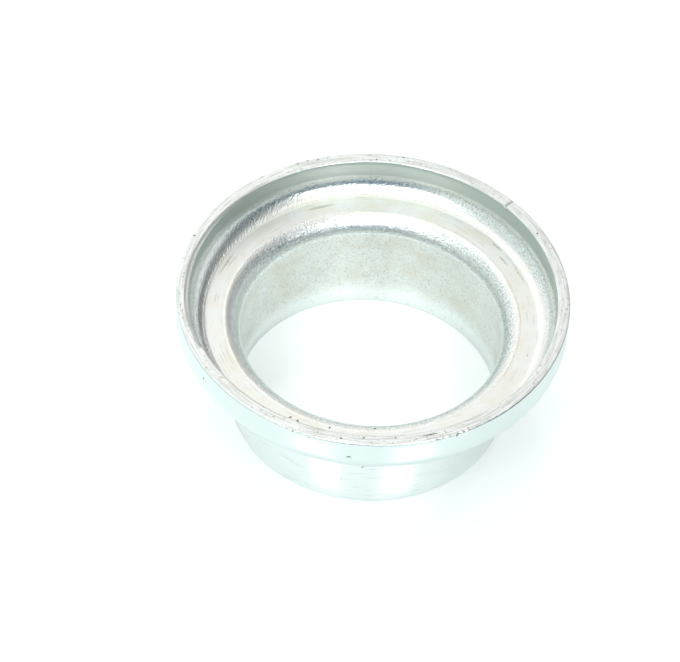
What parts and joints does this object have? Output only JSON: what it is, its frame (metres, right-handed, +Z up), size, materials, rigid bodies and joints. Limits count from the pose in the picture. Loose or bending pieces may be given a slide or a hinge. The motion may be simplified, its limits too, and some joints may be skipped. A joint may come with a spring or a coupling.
{
  "type": "deep drawn metal cup",
  "caption": "Stepped round cup drawn from sheet steel, with an upright rim, a flat inner ledge and an open tube below.",
  "frame": {"origin": "centre of the tube's cut end, which the cup stands on", "axes": "+Z up the common axis of tube and rim, from the tube's cut end towards the rim's open mouth"},
  "size_m": [0.05, 0.05, 0.0195],
  "materials": {
    "zinc_plated_steel": "bright zinc plated mild steel sheet, lightly scuffed and stained"
  },
  "bodies": {
    "root": {"drawn_cup": "zinc_plated_steel"}
  },
  "joints": []
}
